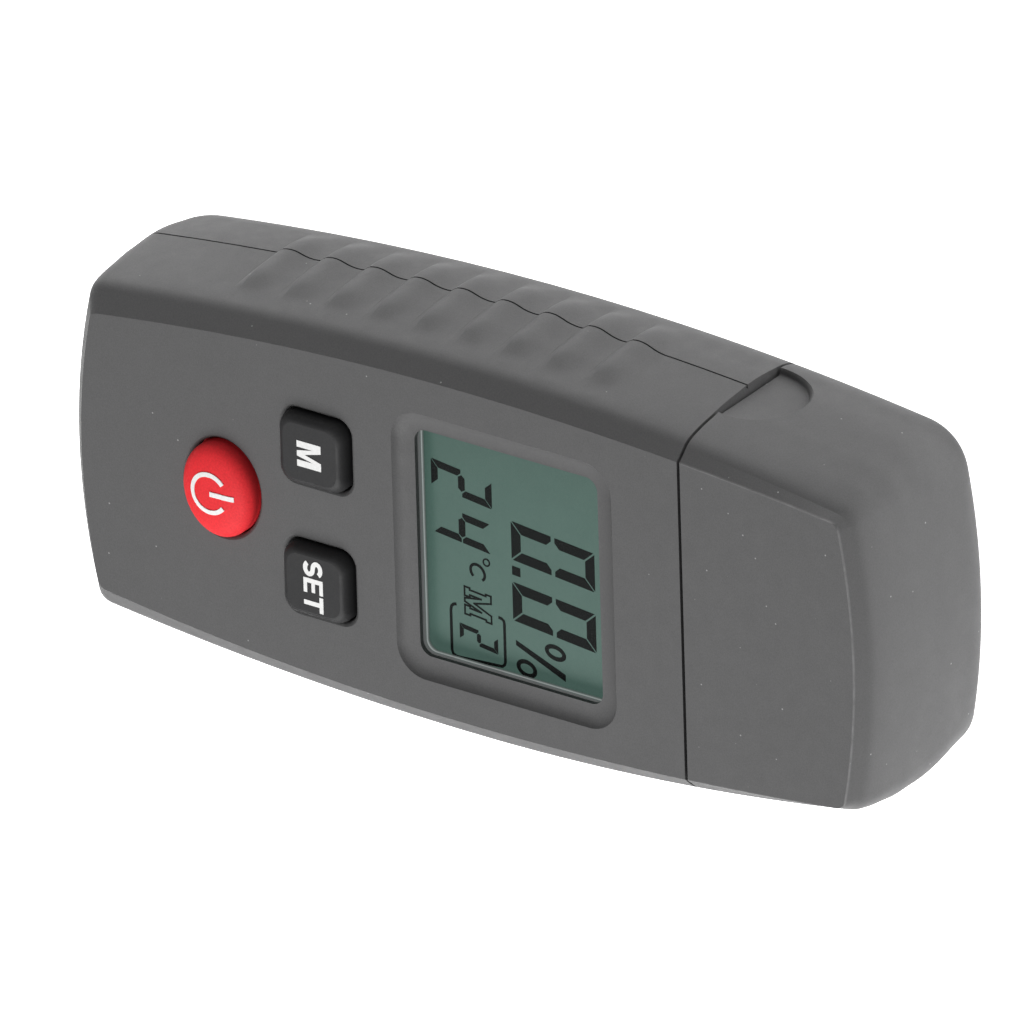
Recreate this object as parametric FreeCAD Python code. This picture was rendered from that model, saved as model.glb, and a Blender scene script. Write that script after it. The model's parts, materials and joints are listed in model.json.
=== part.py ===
import FreeCAD, Part
import os
import math

os.makedirs("parts", exist_ok=True)
V = FreeCAD.Vector

# Pin-type moisture meter, lying on its back.
# +Z is the normal of the display face, +Y points to the capped pins,
# +X is the right-hand side when the display is read with the pins up.
# z = 0 is the back face. Lengths are millimetres.

# ---------------------------------------------------------------- dimensions
T = 28.9                 # case thickness, back face to display face
Z_PART = 12.4            # height of the parting plane of the two shells
Y_SEAM = 35.7            # where the cap meets the case
SEAM_GAP = 0.46          # visible gap between the cap and the case
WALL_TOP = 2.0           # wall under the display face
WALL_SIDE = 2.5          # wall at the gripped sides
CAP_WALL = 2.0           # cap wall
NECK_GAP = 0.3           # clearance between the cap and the neck
NECK_WALL = 1.6
NECK_END = 50.5          # end of the neck that carries the pins

# plan outlines of the case at several depths below the display face:
# depth, half width at y=0, radius of the sides below and above y=0,
# y of the two ends, corner radius at the two ends
LEVELS = [
    (0.0, 24.9, 420, 500, -62.3, 63.3, 1.4, 1.7),
    (1.6, 26.85, 475, 370, -63.8, 64.1, 1.9, 2.4),
    (2.2, 27.42, 488, 357, -64.25, 64.4, 2.1, 2.9),
    (3.0, 27.82, 495, 357, -64.65, 64.7, 2.4, 3.2),
    (4.2, 28.12, 492, 366, -65.0, 64.95, 2.6, 3.6),
    (6.5, 28.5, 482, 385, -65.35, 65.3, 2.9, 4.5),
    (11.0, 29.1, 460, 405, -65.75, 65.7, 3.1, 5.6),
    (16.5, 29.55, 440, 415, -65.98, 65.93, 3.4, 7.5),
    (21.0, 29.45, 430, 425, -65.85, 65.98, 4.0, 9.2),
    (24.5, 29.1, 425, 432, -65.35, 65.85, 5.0, 10.6),
    (26.4, 28.6, 425, 435, -64.7, 65.5, 5.2, 9.6),
    (27.6, 28.0, 427, 437, -64.0, 64.95, 5.0, 7.6),
    (28.5, 27.1, 430, 440, -63.15, 64.1, 4.4, 6.0),
    (28.9, 25.9, 435, 440, -62.0, 63.0, 3.8, 5.0),
]
R_END_B = 96.4           # plan radius of the bottom end
R_END_T = 103.4          # plan radius of the cap end

# finger ridges on both sides: short step up, rounded crest, long fall
GRIP_N = 9
GRIP_PITCH = 7.13
GRIP_Y0 = -40.0          # crest of the first ridge
GRIP_STEP = 1.0          # run of the step in front of each crest
GRIP_SHAPE = [(0.0, 0.66), (0.9, 0.80), (1.9, 0.74), (2.8, 0.50), (3.6, 0.22), (4.4, 0.05), (5.3, -0.03)]
GRIP_FADE = [(0.0, 0.0), (6.2, 0.0), (7.0, 0.30), (9.6, 1.0), (20.0, 1.0), (22.0, 0.7), (24.4, 0.0), (40.0, 0.0)]

# parting groove between the two shells
GROOVE_W = 0.28
GROOVE_D = 0.6

# thumb scoops in the cap
NOTCH_R = 7.2
NOTCH_Y = 1.2            # centre, beyond the seam
NOTCH_DEPTH = 1.3        # at the centre
NOTCH_TILT = 5.5         # lean of the floor, degrees

# display window and its recess
WIN_C = (0.0, 6.93)
WIN_HX, WIN_HY = 16.9, 14.85
BEZ_C = (0.2, 6.75)
BEZ_HX, BEZ_HY = 19.9, 17.9
BEZ_R = 4.6
LENS_DEPTH = 0.85
LENS_T = 1.5

# keys
POWER_C = (0.0, -39.1)
POWER_AX, POWER_AY = 6.95, 5.8
POWER_H = 2.5
KEY_C = ((-9.75, -23.4), (9.75, -23.4))
KEY_HX, KEY_HY = 5.45, 5.6
KEY_H = 1.7
KEY_R = 2.3
KEY_GAP = 0.25
KEY_TRAVEL = 0.6

# electronics
PCB_T = 1.6
PCB_TOP = 20.1
LCD_TOP = 25.4

# pins
PIN_X = 12.5
PIN_R = 1.0
PIN_TIP = 61.6

# battery bay, three AAA cells side by side
CELL_R = 5.25
CELL_L = 44.5
CELL_PITCH = 10.7
SPRING_R = 0.36
CELL_Z = 2.3 + CELL_R
BAY_HX = 17.0
BAY_Y0, BAY_Y1 = -56.0, -3.0
DOOR_HX = 17.6
DOOR_Y0, DOOR_Y1 = -57.0, -2.0

# screws
CASE_SCREWS = [(-21.0, -52.0), (21.0, -52.0), (-20.0, 27.0), (20.0, 27.0)]
PCB_SCREWS = [(-17.0, -45.5), (17.0, -45.5), (-20.6, -12.5), (20.6, -12.5)]


# ------------------------------------------------------------------ helpers
def corner(hw, rs, yend, rend, r):
    """Centre of a corner circle inside a side circle and an end circle (y > 0)."""
    cs = (hw - rs, 0.0)
    ce = (0.0, yend - rend)
    dx, dy = ce[0] - cs[0], ce[1] - cs[1]
    d = math.hypot(dx, dy)
    a, b = rs - r, rend - r
    x = (a * a - b * b + d * d) / (2 * d)
    h = math.sqrt(a * a - x * x)
    ex, ey = dx / d, dy / d
    c1 = (cs[0] + x * ex - h * ey, cs[1] + x * ey + h * ex)
    c2 = (cs[0] + x * ex + h * ey, cs[1] + x * ey - h * ex)
    c = c1 if c1[1] > c2[1] else c2
    ts = math.atan2(c[1] - cs[1], c[0] - cs[0])
    te = math.atan2(c[1] - ce[1], c[0] - ce[0])
    p = lambda t: (c[0] + r * math.cos(t), c[1] + r * math.sin(t))
    side_mid = (cs[0] + rs * math.cos(ts / 2), cs[1] + rs * math.sin(ts / 2))
    return p(ts), p((ts + te) / 2), p(te), side_mid


def fade(d):
    """Share of the full ridge height at depth d."""
    for (a, u), (b, v) in zip(GRIP_FADE, GRIP_FADE[1:]):
        if a <= d <= b:
            return u + (v - u) * (d - a) / (b - a)
    return 0.0


def outline(hw, rl, ru, yb, yt, reb, ret, rb, rt, z, ridge=None):
    """Closed plan curve of the case: barrel sides, bowed ends, round corners.
    With ridge given, both sides carry the finger ridges at that share of height."""
    s1, m1, e1, k1 = corner(hw, ru, yt, ret, rt)
    s2, m2, e2, k2 = corner(hw, rl, -yb, reb, rb)
    P = lambda q, sx=1, sy=1: V(sx * q[0], sy * q[1], z)
    A = lambda a, b, c: Part.Arc(a, b, c).toShape()
    if ridge is None:
        right_up = [A(V(hw, 0, z), P(k1), P(s1))]
        left_down = [A(P(s1, -1), P(k1, -1), V(-hw, 0, z)),
                     A(V(-hw, 0, z), P(k2, -1, -1), P(s2, -1, -1))]
        right_down = [A(P(s2, 1, -1), P(k2, 1, -1), V(hw, 0, z))]
    else:
        def side(y, out=0.0):
            r = rl if y < 0 else ru
            return hw - r + math.sqrt(r * r - y * y) + out * ridge

        def run(sx):
            """Edges of one side from the bottom corner to the top corner."""
            Q = lambda y, out=0.0: V(sx * side(y, out), y, z)
            y0 = GRIP_Y0 - GRIP_STEP
            ym = (y0 - s2[1]) / 2
            e = [A(P(s2, sx, -1), Q(ym), Q(y0))]
            for i in range(GRIP_N):
                yc = GRIP_Y0 + i * GRIP_PITCH
                a, c = Q(yc - GRIP_STEP), Q(yc, GRIP_SHAPE[0][1])
                e.append(A(a, Q(yc - GRIP_STEP * 0.45, GRIP_SHAPE[0][1] * 0.60), c))
                b = Part.BSplineCurve()
                b.interpolate([Q(yc + u, h) for u, h in GRIP_SHAPE] + [Q(yc + GRIP_PITCH - GRIP_STEP)])
                e.append(b.toShape())
            y1 = GRIP_Y0 + GRIP_N * GRIP_PITCH - GRIP_STEP
            e.append(A(Q(y1), Q((y1 + s1[1]) / 2), P(s1, sx)))
            return e
        right = run(1)
        left = run(-1)
        rev = lambda es: [q.reversed() for q in es[::-1]]
        right_up = right
        left_down = rev(left)
        right_down = []
    edges = right_up + [
        A(P(s1), P(m1), P(e1)),
        A(P(e1), V(0, yt, z), P(e1, -1)),
        A(P(e1, -1), P(m1, -1), P(s1, -1)),
    ] + left_down + [
        A(P(s2, -1, -1), P(m2, -1, -1), P(e2, -1, -1)),
        A(P(e2, -1, -1), V(0, yb, z), P(e2, 1, -1)),
        A(P(e2, 1, -1), P(m2, 1, -1), P(s2, 1, -1)),
    ] + right_down
    return Part.Wire(edges)


def level(d, inset=0.0, z=None, ridged=False):
    """Outline of the case at depth d, moved inwards by inset."""
    L = LEVELS
    for i in range(len(L) - 1):
        if L[i][0] <= d <= L[i + 1][0]:
            t = (d - L[i][0]) / (L[i + 1][0] - L[i][0])
            q = [a + (b - a) * t for a, b in zip(L[i], L[i + 1])]
            break
    hw, rl, ru, yb, yt, rb, rt = q[1:]
    return outline(hw - inset, rl, ru, yb + inset, yt - inset, R_END_B - inset,
                   R_END_T - inset, max(rb - inset, 0.8), max(rt - inset, 0.8),
                   T - d if z is None else z, fade(d) if ridged else None)


def box(x0, x1, y0, y1, z0, z1):
    return Part.makeBox(x1 - x0, y1 - y0, z1 - z0, V(x0, y0, z0))


def cyl(x, y, r, z0, z1):
    return Part.makeCylinder(r, z1 - z0, V(x, y, z0), V(0, 0, 1))


def ycyl(x, z, r, y0, y1):
    return Part.makeCylinder(r, y1 - y0, V(x, y0, z), V(0, 1, 0))


def rrect(cx, cy, hx, hy, r, z):
    """Rounded rectangle wire at height z."""
    k = math.sqrt(0.5)
    e = []
    pts = [(hx, hy, 0), (-hx, hy, 90), (-hx, -hy, 180), (hx, -hy, 270)]
    arcs = []
    for (px, py, a) in pts:
        ox = cx + px - math.copysign(r, px)
        oy = cy + py - math.copysign(r, py)
        a0, a1, a2 = [math.radians(a + q) for q in (0, 45, 90)]
        arcs.append([V(ox + r * math.cos(t), oy + r * math.sin(t), z) for t in (a0, a1, a2)])
    for i in range(4):
        e.append(Part.Arc(*arcs[i]).toShape())
        e.append(Part.LineSegment(arcs[i][2], arcs[(i + 1) % 4][0]).toShape())
    return Part.Wire(e)


def slab(cx, cy, hx, hy, r, z0, z1):
    f = Part.Face(rrect(cx, cy, hx, hy, r, z0))
    return f.extrude(V(0, 0, z1 - z0))


def loft(wires, ruled=False):
    return Part.makeLoft(wires, True, ruled)


def ellipse_wire(cx, cy, ax, ay, z):
    """Ellipse with its long axis along X."""
    c = Part.Ellipse(V(cx, cy, z), ax, ay)
    return Part.Wire([c.toShape()])


def oval(cx, cy, ax, ay, z0, z1):
    return Part.Face(ellipse_wire(cx, cy, ax, ay, z0)).extrude(V(0, 0, z1 - z0))


def export(shape, node):
    if len(shape.Solids) == 1:
        shape = shape.Solids[0]
    shape.exportStep("parts/" + node + ".step")


def screw(x, y, z_head, r_head, h_head, r_shank, length, up=1):
    """Pan head screw along Z with a cross recess; the head is at z_head."""
    s = 1 if up > 0 else -1
    d = V(0, 0, s)
    head = Part.makeCone(r_head * 0.82, r_head, h_head * 0.45, V(x, y, z_head), d)
    head = head.fuse(Part.makeCylinder(r_head, h_head * 0.56, V(x, y, z_head + s * h_head * 0.44), d))
    shank = Part.makeCylinder(r_shank, length, V(x, y, z_head + s * (h_head - 0.01)), d)
    tip = Part.makeCone(r_shank, 0.25, 0.9, V(x, y, z_head + s * (h_head + length - 0.02)), d)
    w, l, dp = 0.32, r_head * 0.58, h_head * 0.55
    z0, z1 = sorted((z_head - s * 0.1, z_head + s * dp))
    cross = box(x - l, x + l, y - w, y + w, z0, z1).fuse(box(x - w, x + w, y - l, y + l, z0, z1))
    return head.fuse([shank, tip]).cut(cross).removeSplitter()


# --------------------------------------------------------- outer case volume
bevel = loft([level(1.6, ridged=True), level(0.0, ridged=True)], True)
DEPTHS = sorted([q[0] for q in LEVELS[1:]] + [7.4, 9.4, 13.5, 22.8])
flank = loft([level(q, ridged=True) for q in DEPTHS])
outer = bevel.fuse(flank)

body_outer = outer.common(box(-40, 40, -80, Y_SEAM - SEAM_GAP / 2, -1, 40))
cap_outer = outer.common(box(-40, 40, Y_SEAM + SEAM_GAP / 2, 80, -1, 40))

# --------------------------------------------------------------- case cavity
inner_levels = [2.0, 4.2, 8.0, 12.0, 16.5, 21.0, 24.5, 26.9]
cav = []
for d in inner_levels:
    ins = WALL_SIDE + (0.45 if d in (2.0, 26.9) else 0.0)
    cav.append(level(d, ins + (0.4 if d == 2.0 else 0.0)))
cavity = loft(cav)

# neck that the cap slides over: offset inwards from the cap's inner wall
neck_in = CAP_WALL + NECK_GAP
nl = [2.6, 4.6, 8.0, 12.0, 16.5, 21.0, 24.5, 26.3]
neck = loft([level(d, neck_in + (0.4 if d in (2.6, 26.3) else 0.0)) for d in nl])
neck = neck.common(box(-40, 40, Y_SEAM - 6.0, NECK_END, -1, 40))
nh = [4.2, 6.2, 9.0, 12.0, 16.5, 20.5, 23.0, 24.7]
neck_hole = loft([level(d, neck_in + NECK_WALL + (0.4 if d in (4.2, 24.7) else 0.0)) for d in nh])
neck_hole = neck_hole.common(box(-40, 40, Y_SEAM - 8.0, NECK_END - 6.5, -1, 40))

body_cavity = cavity.common(box(-40, 40, -80, Y_SEAM - 2.2, -1, 40))
hull = body_outer.fuse(neck).cut(body_cavity).cut(neck_hole)

# ------------------------------------------------- display recess and window
wx, wy = WIN_C
bx, by = BEZ_C
recess = loft([
    rrect(bx, by, BEZ_HX, BEZ_HY, BEZ_R, T + 0.02),
    rrect(bx, by, BEZ_HX - 0.55, BEZ_HY - 0.55, BEZ_R - 0.5, T - 0.42),
    rrect(bx, by, BEZ_HX - 1.5, BEZ_HY - 1.5, BEZ_R - 1.2, T - 0.78),
    rrect(wx, wy, WIN_HX + 0.25, WIN_HY + 0.25, 2.2, T - 0.92)])
window = slab(wx, wy, WIN_HX, WIN_HY, 1.9, T - 6, T + 2)
# ledge that carries the flange of the window pane, from inside
lens_seat = slab(wx, wy, WIN_HX + 1.4, WIN_HY + 1.4, 2.4, T - 6, T - LENS_DEPTH - 0.75)

front = hull.common(box(-40, 40, -80, 80, Z_PART, 40))
front = front.cut(recess).cut(window).cut(lens_seat)

# keys: soft-edged wells through the face
pcx, pcy = POWER_C
well = oval(pcx, pcy, POWER_AX + KEY_GAP, POWER_AY + KEY_GAP, T - 6, T + 2)
well_soft = loft([ellipse_wire(pcx, pcy, POWER_AX + 0.75, POWER_AY + 0.75, T + 0.01),
                  ellipse_wire(pcx, pcy, POWER_AX + 0.4, POWER_AY + 0.4, T - 0.22),
                  ellipse_wire(pcx, pcy, POWER_AX + 0.2, POWER_AY + 0.2, T - 0.7)])
front = front.cut(well).cut(well_soft)
for (kx, ky) in KEY_C:
    front = front.cut(slab(kx, ky, KEY_HX, KEY_HY, KEY_R, T - 6, T + 2))
    front = front.cut(loft([rrect(kx, ky, KEY_HX + 0.55, KEY_HY + 0.55, KEY_R + 0.5, T + 0.01),
                            rrect(kx, ky, KEY_HX + 0.16, KEY_HY + 0.16, KEY_R + 0.15, T - 0.2),
                            rrect(kx, ky, KEY_HX - 0.02, KEY_HY - 0.02, KEY_R, T - 0.62)]))

# front shell: bosses for the case screws and for the circuit board
bosses = []
for (sx, sy) in CASE_SCREWS:
    bosses.append(cyl(sx, sy, 3.0, Z_PART, T - 1.8))
for (sx, sy) in PCB_SCREWS:
    bosses.append(cyl(sx, sy, 2.0, PCB_TOP, T - 1.8))
inside = cavity.common(box(-40, 40, -80, Y_SEAM - 1.5, Z_PART, T - 1.0)).fuse(
    box(-24, 24, -60, Y_SEAM - 2.0, T - 2.2, T - 1.6))
boss = bosses[0].fuse(bosses[1:]).common(
    box(-40, 40, -80, 80, Z_PART, T - 1.7)).common(outer)
front = front.fuse(boss)
for (sx, sy) in CASE_SCREWS:
    front = front.cut(cyl(sx, sy, 1.15, Z_PART - 1, Z_PART + 9.5))
for (sx, sy) in PCB_SCREWS:
    front = front.cut(cyl(sx, sy, 0.8, PCB_TOP - 1, PCB_TOP + 4.6))

# rear shell: battery bay opening, door rebate, screw posts, cell tray
rear = hull.common(box(-40, 40, -80, 80, -1, Z_PART))
posts = []
for (sx, sy) in CASE_SCREWS:
    posts.append(cyl(sx, sy, 3.0, 1.0, Z_PART))
tray = box(-BAY_HX - 1.4, BAY_HX + 1.4, BAY_Y0 - 1.4, BAY_Y1 + 1.4, 1.0, 14.6).cut(
    box(-BAY_HX, BAY_HX, BAY_Y0, BAY_Y1, 0, 13.2))
tray = tray.common(outer)
post = posts[0].fuse(posts[1:]).common(outer)
rear = rear.fuse(post).fuse(tray.common(box(-40, 40, -80, 80, -1, Z_PART)))
rim = tray.common(box(-BAY_HX - 1.4, BAY_HX + 1.4, BAY_Y0 - 1.4, BAY_Y1 + 1.4, Z_PART, 16))
for (sx, sy) in CASE_SCREWS:
    rim = rim.cut(cyl(sx, sy, 3.15, 0, 40))
rear = rear.fuse(rim)
rear = rear.cut(box(-BAY_HX, BAY_HX, BAY_Y0, BAY_Y1, -1, 13.2))
rear = rear.cut(slab(0, (DOOR_Y0 + DOOR_Y1) / 2, DOOR_HX + 0.2, (DOOR_Y1 - DOOR_Y0) / 2 + 0.2, 2.2, -1, 1.2))
for (sx, sy) in CASE_SCREWS:
    rear = rear.cut(cyl(sx, sy, 1.5, -1, 20)).cut(cyl(sx, sy, 2.55, -1, 4.2))

# seats for the pin sockets in the end wall of the neck, clamped by both shells
for sx in (-PIN_X, PIN_X):
    for c in (ycyl(sx, Z_PART, 2.5, NECK_END - 8, NECK_END + 1),
              ycyl(sx, Z_PART, 3.6, NECK_END - 4.6, NECK_END - 2.4)):
        front = front.cut(c)
        rear = rear.cut(c)

# small raised feet ribs keep the parting faces registered
lip = loft([level(16.5, WALL_SIDE - 0.05, Z_PART - 1.6), level(16.5, WALL_SIDE - 0.05, Z_PART)], True).cut(
    loft([level(16.5, WALL_SIDE + 0.95, Z_PART - 2.0), level(16.5, WALL_SIDE + 0.95, Z_PART + 1.0)], True))
lip = lip.common(box(-40, 40, -60, 20, -1, 40))
keep = lip
for (sx, sy) in CASE_SCREWS:
    keep = keep.cut(cyl(sx, sy, 3.3, 0, 40))
rear = rear.cut(keep)
front = front.fuse(keep)

# thin groove that shows where the shells meet
gd = T - Z_PART
groove = Part.Face(level(gd, -1.0, Z_PART - GROOVE_W, True)).extrude(V(0, 0, GROOVE_W)).cut(
    Part.Face(level(gd, GROOVE_D, Z_PART - GROOVE_W - 1, True)).extrude(V(0, 0, 3)))
groove = groove.common(box(-40, 40, -80, Y_SEAM - SEAM_GAP / 2, 0, 40))
rear = rear.cut(groove)

export(front.removeSplitter(), "front_shell")
export(rear.removeSplitter(), "rear_shell")

# ------------------------------------------------------------------- the cap
cl = [2.2, 4.2, 8.0, 12.0, 16.5, 21.0, 24.5, 26.7]
cap_hole = loft([level(d, CAP_WALL + (0.4 if d in (2.2, 26.7) else 0.0)) for d in cl])
cap_hole = cap_hole.common(box(-40, 40, 30, 80, -1, 40))
cap = cap_outer.cut(cap_hole)
for sx in (-1, 1):
    # pocket turned about X: flat floor, upright wall, softly flared rim
    R = NOTCH_R
    w = [V(0, 0, 0), V(0, R - 0.35, 0)]
    e = [Part.LineSegment(w[0], w[1]).toShape(),
         Part.Arc(V(0, R - 0.35, 0), V(0.08, R - 0.10, 0), V(0.32, R, 0)).toShape(),
         Part.LineSegment(V(0.32, R, 0), V(0.62, R + 0.05, 0)).toShape(),
         Part.Arc(V(0.62, R + 0.05, 0), V(1.05, R + 0.26, 0), V(1.45, R + 0.75, 0)).toShape(),
         Part.LineSegment(V(1.45, R + 0.75, 0), V(6.0, R + 0.75, 0)).toShape(),
         Part.LineSegment(V(6.0, R + 0.75, 0), V(6.0, 0, 0)).toShape(),
         Part.LineSegment(V(6.0, 0, 0), w[0]).toShape()]
    c = Part.Face(Part.Wire(e)).revolve(V(0, 0, 0), V(1, 0, 0), 360)
    if sx < 0:
        c = c.mirror(V(0, 0, 0), V(1, 0, 0))
    c.rotate(V(0, 0, 0), V(0, 0, 1), sx * NOTCH_TILT)
    c.translate(V(sx * (27.9 - NOTCH_DEPTH), Y_SEAM + NOTCH_Y, Z_PART))
    cap = cap.cut(c)
export(cap.removeSplitter(), "cap")

# ------------------------------------------------------------- display stack
lens = slab(wx, wy, WIN_HX - 0.06, WIN_HY - 0.06, 1.8, T - LENS_DEPTH - 0.8, T - LENS_DEPTH)
lens = lens.fuse(slab(wx, wy, WIN_HX + 1.3, WIN_HY + 1.3, 2.3, T - LENS_DEPTH - LENS_T - 0.1, T - LENS_DEPTH - 0.8))
export(lens.removeSplitter(), "window_pane")
LENS_BOT = T - LENS_DEPTH - LENS_T - 0.1

holder = slab(wx, wy, 19.6, 17.9, 1.6, 21.4, LENS_BOT - 0.02)
holder = holder.cut(slab(wx, wy, 18.4, 16.7, 0.45, 23.2, 40))
for (sx, sy) in CASE_SCREWS:
    holder = holder.cut(cyl(sx, sy, 3.3, 0, 40))
holder = holder.cut(slab(wx, wy, 17.2, 15.6, 0.8, 20, 40))
legs = [box(wx + sx * 19.2 - 1.0, wx + sx * 19.2 + 1.0, wy - 8, wy + 8, PCB_TOP, 21.6) for sx in (-0.94, 0.94)]
holder = holder.fuse(legs)
export(holder.removeSplitter(), "display_holder")

glass_f = slab(wx, wy, 18.3, 15.5, 0.5, LCD_TOP - 1.05, LCD_TOP)
glass_r = slab(wx, wy, 18.3, 16.6, 0.5, LCD_TOP - 2.15, LCD_TOP - 1.07)
export(glass_f, "lcd_front_glass")
export(glass_r, "lcd_rear_glass")
export(slab(wx, wy, 16.9, 12.9, 0.5, 22.6, LCD_TOP - 2.17), "lcd_reflector")

zebra = [slab(wx, wy + sy * 14.5, 16.4, 1.0, 0.3, PCB_TOP, LCD_TOP - 2.17) for sy in (-1, 1)]
export(Part.makeCompound(zebra), "contact_strips")

seal = slab(wx, wy, WIN_HX + 1.25, WIN_HY + 1.25, 2.2, LCD_TOP + 0.02, LENS_BOT - 0.01).cut(
    slab(wx, wy, WIN_HX + 0.3, WIN_HY + 0.3, 1.6, 20, 40))
export(seal, "window_gasket")

# ------------------------------------------------------- board and its parts
pcb = slab(0, -9.5, 22.0, 40.5, 2.0, PCB_TOP - PCB_T, PCB_TOP)
pcb = pcb.common(cavity.common(box(-40, 40, -80, Y_SEAM - 3.0, 0, 40)))
for (sx, sy) in CASE_SCREWS:
    pcb = pcb.cut(cyl(sx, sy, 3.5, 0, 40))
for (sx, sy) in PCB_SCREWS:
    pcb = pcb.cut(cyl(sx, sy, 1.15, 0, 40))
export(pcb.removeSplitter(), "circuit_board")

scr = [screw(sx, sy, PCB_TOP - PCB_T - 1.0, 1.9, 1.0, 0.8, 4.4) for (sx, sy) in PCB_SCREWS]
export(Part.makeCompound(scr), "board_screws")
scr = [screw(sx, sy, 4.2 - 1.7, 2.3, 1.7, 1.14, 15.8) for (sx, sy) in CASE_SCREWS]
export(Part.makeCompound(scr), "case_screws")

KEYS = [("power", POWER_C), ("mode", KEY_C[0]), ("set", KEY_C[1])]
SW_TOP = PCB_TOP + 3.3
sw = []
for n, (kx, ky) in KEYS:
    b = slab(kx, ky, 3.0, 3.0, 0.4, PCB_TOP, SW_TOP)
    b = b.cut(cyl(kx, ky, 1.8, SW_TOP - 1.3, SW_TOP + 1))
    legs = [box(kx + ax - 0.5, kx + ax + 0.5, ky + ay - 0.35, ky + ay + 0.35, PCB_TOP, PCB_TOP + 0.4)
            for ax in (-3.2, 3.2) for ay in (-2.2, 2.2)]
    sw.append(b.fuse(legs).removeSplitter())
export(Part.makeCompound(sw), "key_switches")

PL_TOP = SW_TOP + 0.75
for n, (kx, ky) in KEYS:
    p = cyl(kx, ky, 1.72, SW_TOP - 0.62, PL_TOP)
    export(p, "plunger_" + n)

FL0, FL1 = PL_TOP, T - WALL_TOP - 0.15
# power key: oval dome with a rolled edge
dome_levels = [(T - 0.6, 1.0), (T + 0.4, 1.0), (T + 0.9, 0.988), (T + 1.4, 0.935), (T + 1.8, 0.85),
               (T + 2.1, 0.72), (T + 2.32, 0.54), (T + 2.44, 0.34), (T + 2.5, 0.06)]
dome = loft([ellipse_wire(pcx, pcy, POWER_AX * k, POWER_AY * k, z) for z, k in dome_levels])
stem = oval(pcx, pcy, POWER_AX, POWER_AY, FL0 + 0.01, T - 0.6)
flange = oval(pcx, pcy, POWER_AX + 1.1, POWER_AY + 1.1, FL0 + 0.5, FL1)
key = dome.fuse(stem).fuse(flange)
key = key.cut(oval(pcx, pcy, POWER_AX - 1.4, POWER_AY - 1.4, FL0 - 1, T + 0.3).cut(cyl(pcx, pcy, 2.0, 0, 40)))
export(key.removeSplitter(), "key_power")

for n, (kx, ky) in KEYS[1:]:
    hx, hy = KEY_HX - KEY_GAP, KEY_HY - KEY_GAP
    top = loft([rrect(kx, ky, hx, hy, KEY_R - 0.1, T - 0.9),
                rrect(kx, ky, hx, hy, KEY_R - 0.1, T + 0.2),
                rrect(kx, ky, hx - 0.06, hy - 0.06, KEY_R - 0.1, T + 0.7),
                rrect(kx, ky, hx - 0.24, hy - 0.24, KEY_R - 0.15, T + 1.15),
                rrect(kx, ky, hx - 0.55, hy - 0.55, KEY_R - 0.25, T + KEY_H - 0.2),
                rrect(kx, ky, hx - 1.05, hy - 1.05, KEY_R - 0.5, T + KEY_H)])
    stem = slab(kx, ky, hx, hy, KEY_R - 0.1, FL0 + 0.01, T - 0.9)
    flange = slab(kx, ky, KEY_HX + 0.9, KEY_HY + 0.9, KEY_R, FL0 + 0.5, FL1)
    key = top.fuse(stem).fuse(flange)
    key = key.cut(slab(kx, ky, hx - 1.5, hy - 1.5, 1.0, FL0 - 1, T - 0.2).cut(cyl(kx, ky, 2.0, 0, 40)))
    export(key.removeSplitter(), "key_" + n)

# controller, crystal, buzzer, temperature bead
export(slab(2.0, 7.0, 6.2, 6.2, 0.4, PCB_TOP - PCB_T - 1.9, PCB_TOP - PCB_T - 0.01), "controller_chip")
bz = cyl(-12.0, 20.0, 4.6, PCB_TOP - PCB_T - 3.6, PCB_TOP - PCB_T - 0.01).cut(
    cyl(-12.0, 20.0, 0.9, PCB_TOP - PCB_T - 4, PCB_TOP - PCB_T - 2.4))
export(bz, "buzzer")
caps = [Part.makeCylinder(2.0, 5.2, V(x, 17.4, PCB_TOP - PCB_T - 2.1), V(0, 1, 0)) for x in (8.5, 13.2)]
export(Part.makeCompound(caps), "capacitors")
bead = Part.makeSphere(1.1, V(0, 32.2, PCB_TOP - 0.8)).fuse(
    [Part.makeCylinder(0.28, 3.2, V(dx, 29.2, PCB_TOP - 0.8), V(0, 1, 0)) for dx in (-0.5, 0.5)])
bead = bead.cut(pcb)
export(bead.removeSplitter(), "temperature_bead")

# ------------------------------------------------------- pins and their parts
sock, pins, tags = [], [], []
for sx in (-PIN_X, PIN_X):
    s = ycyl(sx, Z_PART, 2.48, NECK_END - 8.0, NECK_END + 0.6)
    s = s.fuse(ycyl(sx, Z_PART, 3.58, NECK_END - 4.58, NECK_END - 2.42))
    s = s.cut(ycyl(sx, Z_PART, PIN_R, NECK_END - 5.0, NECK_END + 2))
    s = s.cut(ycyl(sx, Z_PART, 0.7, NECK_END - 10, NECK_END - 5.5))
    sock.append(s.removeSplitter())
    p = ycyl(sx, Z_PART, PIN_R, NECK_END - 5.0, NECK_END + 4.6)
    p = p.fuse(ycyl(sx, Z_PART, PIN_R + 0.75, NECK_END + 0.62, NECK_END + 1.6))
    p = p.fuse(Part.makeCone(PIN_R, 0.06, PIN_TIP - NECK_END - 4.58, V(sx, NECK_END + 4.58, Z_PART), V(0, 1, 0)))
    pins.append(p.removeSplitter())
    # sprung tag from the board to the socket
    t = box(sx - 1.6, sx + 1.6, NECK_END - 8.6, NECK_END - 8.05, Z_PART - 2.2, Z_PART + 7.2)
    t = t.fuse(box(sx - 1.6, sx + 1.6, 26.6, NECK_END - 8.05, Z_PART + 6.66, Z_PART + 7.2))
    t = t.cut(box(sx - 3, sx + 3, 20, 28.0, 0, Z_PART + 6.5))
    tags.append(t.removeSplitter())
export(Part.makeCompound(sock), "pin_sockets")
export(Part.makeCompound(pins), "electrode_pins")

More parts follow.
